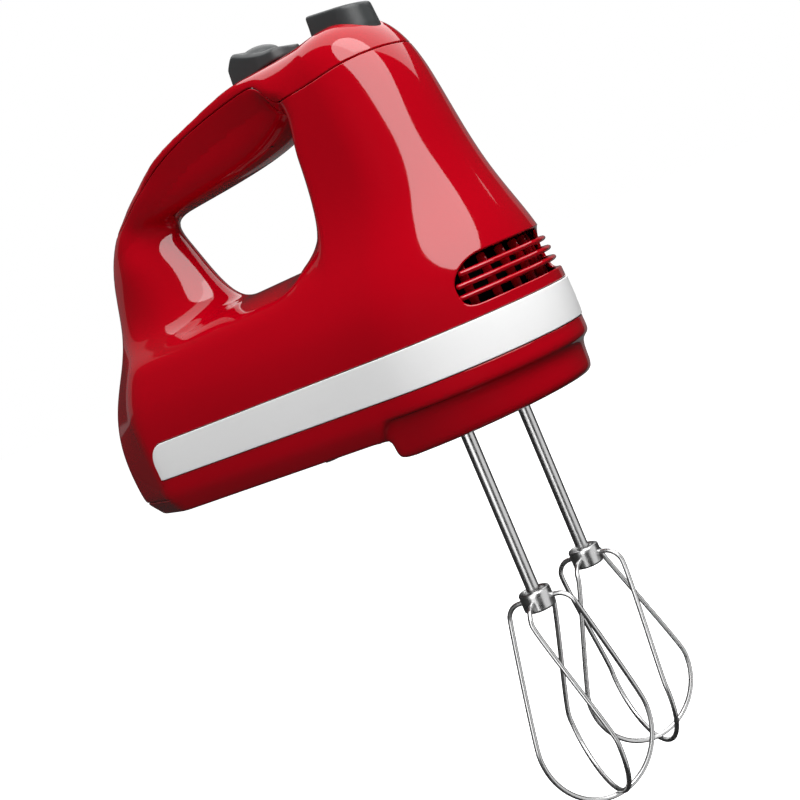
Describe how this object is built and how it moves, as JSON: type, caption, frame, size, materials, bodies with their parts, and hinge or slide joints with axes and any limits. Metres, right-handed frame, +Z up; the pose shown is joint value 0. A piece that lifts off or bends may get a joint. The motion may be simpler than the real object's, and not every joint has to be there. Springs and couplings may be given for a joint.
{
  "type": "hand mixer",
  "caption": "Electric hand mixer with a one-piece looped handle, a silver band round the housing and a pair of twisted wire beaters.",
  "frame": {"origin": "centre of the flat heel at the back of the housing, which the mixer rests on when stood up", "axes": "+X from the heel to the nose, +Y to the mixer's left, +Z up with the beaters hanging down"},
  "size_m": [0.2093, 0.0876, 0.3033],
  "materials": {
    "red_plastic": "gloss moulded plastic, red",
    "band_silver": "satin silver trim",
    "dark_plastic": "black moulded plastic",
    "zinc": "die-cast, as cast",
    "bronze": "sintered bronze",
    "lamination": "stacked electrical steel",
    "copper": "enamelled copper",
    "carbon": "pressed carbon",
    "steel": "ground steel",
    "stainless": "polished stainless steel",
    "white_plastic": "natural acetal",
    "capacitor_yellow": "box capacitor",
    "grey_button": "satin dark grey plastic",
    "black_rubber": "moulded rubber"
  },
  "bodies": {
    "housing": {"top_cover": "red_plastic", "upper_housing": "red_plastic", "lower_housing": "red_plastic", "trim_band": "band_silver", "vent_grille": "dark_plastic", "gear_case": "zinc", "gear_case_cover": "zinc", "spindle_bushings": "bronze", "shaft_bearings": "bronze", "stator_core": "lamination", "field_coils": "copper", "rear_motor_bracket": "dark_plastic", "motor_cradle": "dark_plastic", "brush_holders": "bronze", "carbon_brushes": "carbon", "brush_springs": "steel", "speed_switch": "dark_plastic", "terminal_block": "white_plastic", "suppressor_capacitor": "capacitor_yellow", "ejector_guide": "zinc", "ejector_spring": "steel", "housing_screws": "steel", "gear_case_screws": "steel", "stator_screws": "steel"},
    "armature": {"armature_shaft": "steel", "armature_core": "lamination", "armature_windings": "copper", "commutator": "copper", "cooling_fan": "dark_plastic"},
    "left_drive": {"left_spindle": "steel", "left_worm_wheel": "white_plastic"},
    "right_drive": {"right_spindle": "steel", "right_worm_wheel": "white_plastic"},
    "left_pusher": {"left_ejector_pin": "steel"},
    "right_pusher": {"right_ejector_pin": "steel"},
    "left_beater": {"left_beater_shaft": "stainless", "left_beater_hub": "stainless", "left_beater_wire_a": "stainless", "left_beater_wire_b": "stainless"},
    "right_beater": {"right_beater_shaft": "stainless", "right_beater_hub": "stainless", "right_beater_wire_a": "stainless", "right_beater_wire_b": "stainless"},
    "ejector": {"eject_button": "grey_button", "ejector_yoke": "white_plastic"},
    "speed_control": {"speed_slider": "grey_button", "slider_carriage": "white_plastic"},
    "cord_swivel": {"cord_gland": "black_rubber"}
  },
  "joints": [
    {"name": "motor_spin", "type": "hinge", "parent": "housing", "child": "armature", "pos_m": [0.1, 0, 0.014], "axis": [1, 0, 0], "continuous": true},
    {"name": "left_drive_spin", "type": "hinge", "parent": "housing", "child": "left_drive", "pos_m": [0.164, 0.02, 0], "axis": [0, 0, 1], "continuous": true},
    {"name": "right_drive_spin", "type": "hinge", "parent": "housing", "child": "right_drive", "pos_m": [0.164, -0.02, 0], "axis": [0, 0, 1], "continuous": true},
    {"name": "eject_press", "type": "slide", "parent": "housing", "child": "ejector", "axis": [0, 0, -1], "range_m": [0, 0.006], "stiffness_N_per_m": 350, "springref_m": -0.006, "deforming": ["ejector_spring"]},
    {"name": "left_pusher_slide", "type": "slide", "parent": "left_drive", "child": "left_pusher", "axis": [0, 0, -1], "range_m": [0, 0.006]},
    {"name": "right_pusher_slide", "type": "slide", "parent": "right_drive", "child": "right_pusher", "axis": [0, 0, -1], "range_m": [0, 0.006]},
    {"name": "left_beater_pull", "type": "slide", "parent": "left_pusher", "child": "left_beater", "axis": [0, 0, -1], "range_m": [0, 0.034]},
    {"name": "right_beater_pull", "type": "slide", "parent": "right_pusher", "child": "right_beater", "axis": [0, 0, -1], "range_m": [0, 0.034]},
    {"name": "speed_slide", "type": "slide", "parent": "housing", "child": "speed_control", "axis": [-0.9968, 0, -0.0797], "range_m": [0, 0.018]},
    {"name": "cord_swivel_turn", "type": "hinge", "parent": "housing", "child": "cord_swivel", "pos_m": [0.018, 0, 0.062], "axis": [1, 0, 0], "range_deg": [-90, 90]}
  ],
  "couplings": [
    {"joint": "left_drive_spin", "follows": "motor_spin", "ratio": -0.032258},
    {"joint": "right_drive_spin", "follows": "motor_spin", "ratio": 0.032258},
    {"joint": "left_pusher_slide", "follows": "eject_press", "ratio": 1},
    {"joint": "right_pusher_slide", "follows": "eject_press", "ratio": 1}
  ]
}
